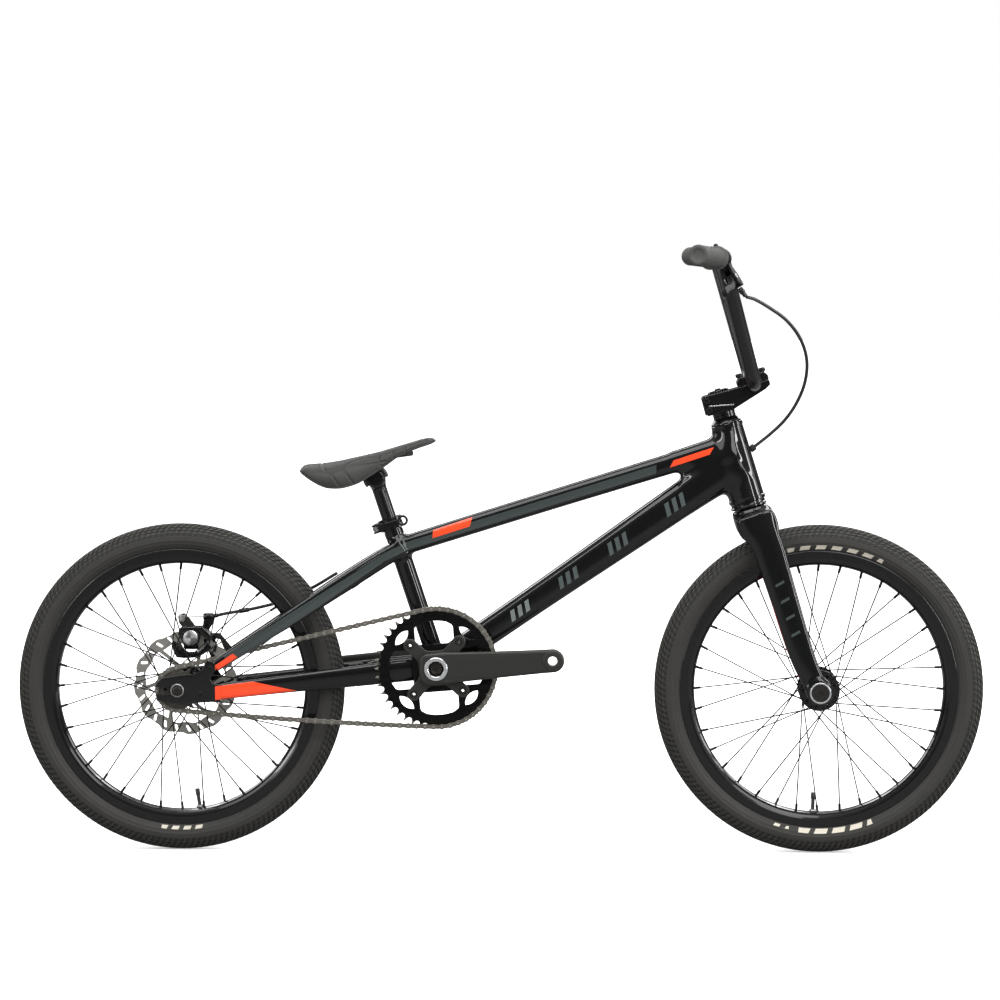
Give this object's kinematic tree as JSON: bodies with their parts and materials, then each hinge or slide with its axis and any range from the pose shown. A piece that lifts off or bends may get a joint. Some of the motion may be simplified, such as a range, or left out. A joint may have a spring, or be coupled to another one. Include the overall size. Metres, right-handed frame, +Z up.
{
  "type": "bmx bike",
  "caption": "Small-wheeled race bicycle with single-speed chain drive, rigid fork, rear disc brake and quick-release seat clamp; no pedals fitted.",
  "frame": {"origin": "on the ground, on the centre plane, midway between the two axles", "axes": "+X forward, +Z up, -Y is the chain side (rider's right)"},
  "size_m": [1.457, 0.747, 0.9125],
  "materials": {
    "frame_paint": "gloss black",
    "fork_paint": "gloss black",
    "black_anodised": "satin black anodised",
    "crank_black": "satin black anodised",
    "bar_black": "semi-gloss black",
    "polished_alloy": "polished",
    "machined_steel": "machined",
    "rotor_steel": "ground",
    "bearing_steel": "polished",
    "bolt_black": "black oxide",
    "cable_black": "matte",
    "chain_steel": "pewter plated",
    "tyre_rubber": "matte dark warm grey",
    "tube_rubber": "matte",
    "grip_rubber": "matte mid grey",
    "spoke_black": "satin black",
    "pad_material": "sintered",
    "saddle_shell": "matte mid grey"
  },
  "bodies": {
    "frame_body": {"frame": "frame_paint", "seat_clamp_collar": "black_anodised", "seat_clamp_skewer": "polished_alloy", "bb_cups": "black_anodised", "bb_bearings": "bearing_steel", "headset_bearings": "bearing_steel", "caliper_bracket": "black_anodised", "caliper_body": "black_anodised", "brake_pad_fixed": "pad_material", "caliper_bolts": "bolt_black", "brake_cable_rear": "cable_black", "rear_axle": "machined_steel", "rear_axle_bolts": "machined_steel", "chain": "chain_steel"},
    "front_end": {"fork": "fork_paint", "front_axle": "polished_alloy", "headset_cover": "black_anodised", "headset_spacers": "black_anodised", "top_cap": "black_anodised", "stem_body": "black_anodised", "stem_cap": "black_anodised", "stem_bolts": "bolt_black", "handlebar": "bar_black", "grip_right": "grip_rubber", "grip_left": "grip_rubber", "lever_bracket": "black_anodised", "lever_pivot_bolt": "machined_steel", "barrel_adjuster": "black_anodised", "brake_cable_front": "cable_black"},
    "lever_blade": {"brake_lever": "black_anodised"},
    "front_wheel": {"front_tyre": "tyre_rubber", "front_tube": "tube_rubber", "front_rim": "black_anodised", "front_spokes": "spoke_black", "front_nipples": "spoke_black", "front_hub": "black_anodised", "front_hub_bearings": "bearing_steel"},
    "rear_wheel": {"rear_tyre": "tyre_rubber", "rear_tube": "tube_rubber", "rear_rim": "black_anodised", "rear_spokes": "spoke_black", "rear_nipples": "spoke_black", "rear_hub": "black_anodised", "rear_hub_bearings": "bearing_steel", "brake_rotor": "rotor_steel", "rotor_bolts": "machined_steel"},
    "driver": {"driver_body": "machined_steel", "cog": "machined_steel"},
    "crankset": {"right_crank": "crank_black", "left_crank": "crank_black", "crank_spindle": "polished_alloy", "chainring": "black_anodised", "chainring_bolts": "bolt_black"},
    "pull_arm": {"caliper_arm": "black_anodised"},
    "outer_pad": {"brake_pad_moving": "pad_material"},
    "knob": {"caliper_knob": "polished_alloy"},
    "post": {"seatpost": "black_anodised"},
    "seat": {"saddle": "saddle_shell", "saddle_bolt": "machined_steel"},
    "clamp_lever": {"seat_clamp_lever": "black_anodised"}
  },
  "joints": [
    {"name": "steer", "type": "hinge", "parent": "frame_body", "child": "front_end", "pos_m": [0.35677, 0, 0.59048], "axis": [-0.2639, 0, 0.9646], "range_deg": [-70, 70], "deforming": ["brake_cable_front"]},
    {"name": "brake_lever_pull", "type": "hinge", "parent": "front_end", "child": "lever_blade", "pos_m": [0.34156, -0.22296, 0.86437], "axis": [-0.8408, 0.1677, -0.5148], "range_deg": [0, 18]},
    {"name": "front_wheel_spin", "type": "hinge", "parent": "front_end", "child": "front_wheel", "pos_m": [0.481, 0, 0.2475], "axis": [0, 1, 0], "continuous": true},
    {"name": "rear_wheel_spin", "type": "hinge", "parent": "frame_body", "child": "rear_wheel", "pos_m": [-0.481, 0, 0.2475], "axis": [0, 1, 0], "continuous": true},
    {"name": "crank_spin", "type": "hinge", "parent": "frame_body", "child": "crankset", "pos_m": [-0.0924, 0, 0.2815], "axis": [0, 1, 0], "continuous": true, "deforming": ["chain"]},
    {"name": "driver_spin", "type": "hinge", "parent": "frame_body", "child": "driver", "pos_m": [-0.481, 0, 0.2475], "axis": [0, 1, 0], "continuous": true},
    {"name": "pull_arm_turn", "type": "hinge", "parent": "frame_body", "child": "pull_arm", "pos_m": [-0.4715, 0.07, 0.3175], "axis": [0, 1, 0], "range_deg": [0, 27]},
    {"name": "outer_pad_press", "type": "slide", "parent": "frame_body", "child": "outer_pad", "axis": [0, -1, 0], "range_m": [0, 0.0009]},
    {"name": "knob_turn", "type": "hinge", "parent": "frame_body", "child": "knob", "pos_m": [-0.4715, 0.033, 0.3175], "axis": [0, 1, 0], "range_deg": [-180, 180]},
    {"name": "seatpost_height", "type": "slide", "parent": "frame_body", "child": "post", "axis": [-0.3156, 0, 0.9489], "range_m": [-0.03, 0.04]},
    {"name": "saddle_tilt", "type": "hinge", "parent": "post", "child": "seat", "pos_m": [-0.18631, 0, 0.56379], "axis": [0, 1, 0], "range_deg": [-8, 12]},
    {"name": "seat_clamp_lever_open", "type": "hinge", "parent": "frame_body", "child": "clamp_lever", "pos_m": [-0.1843, -0.019, 0.48805], "axis": [0.3156, 0, -0.9489], "range_deg": [0, 140]}
  ],
  "couplings": [
    {"joint": "driver_spin", "follows": "crank_spin", "ratio": 2.75},
    {"joint": "pull_arm_turn", "follows": "brake_lever_pull", "ratio": 1.5},
    {"joint": "outer_pad_press", "follows": "brake_lever_pull", "m_per_rad": 0.0028}
  ]
}
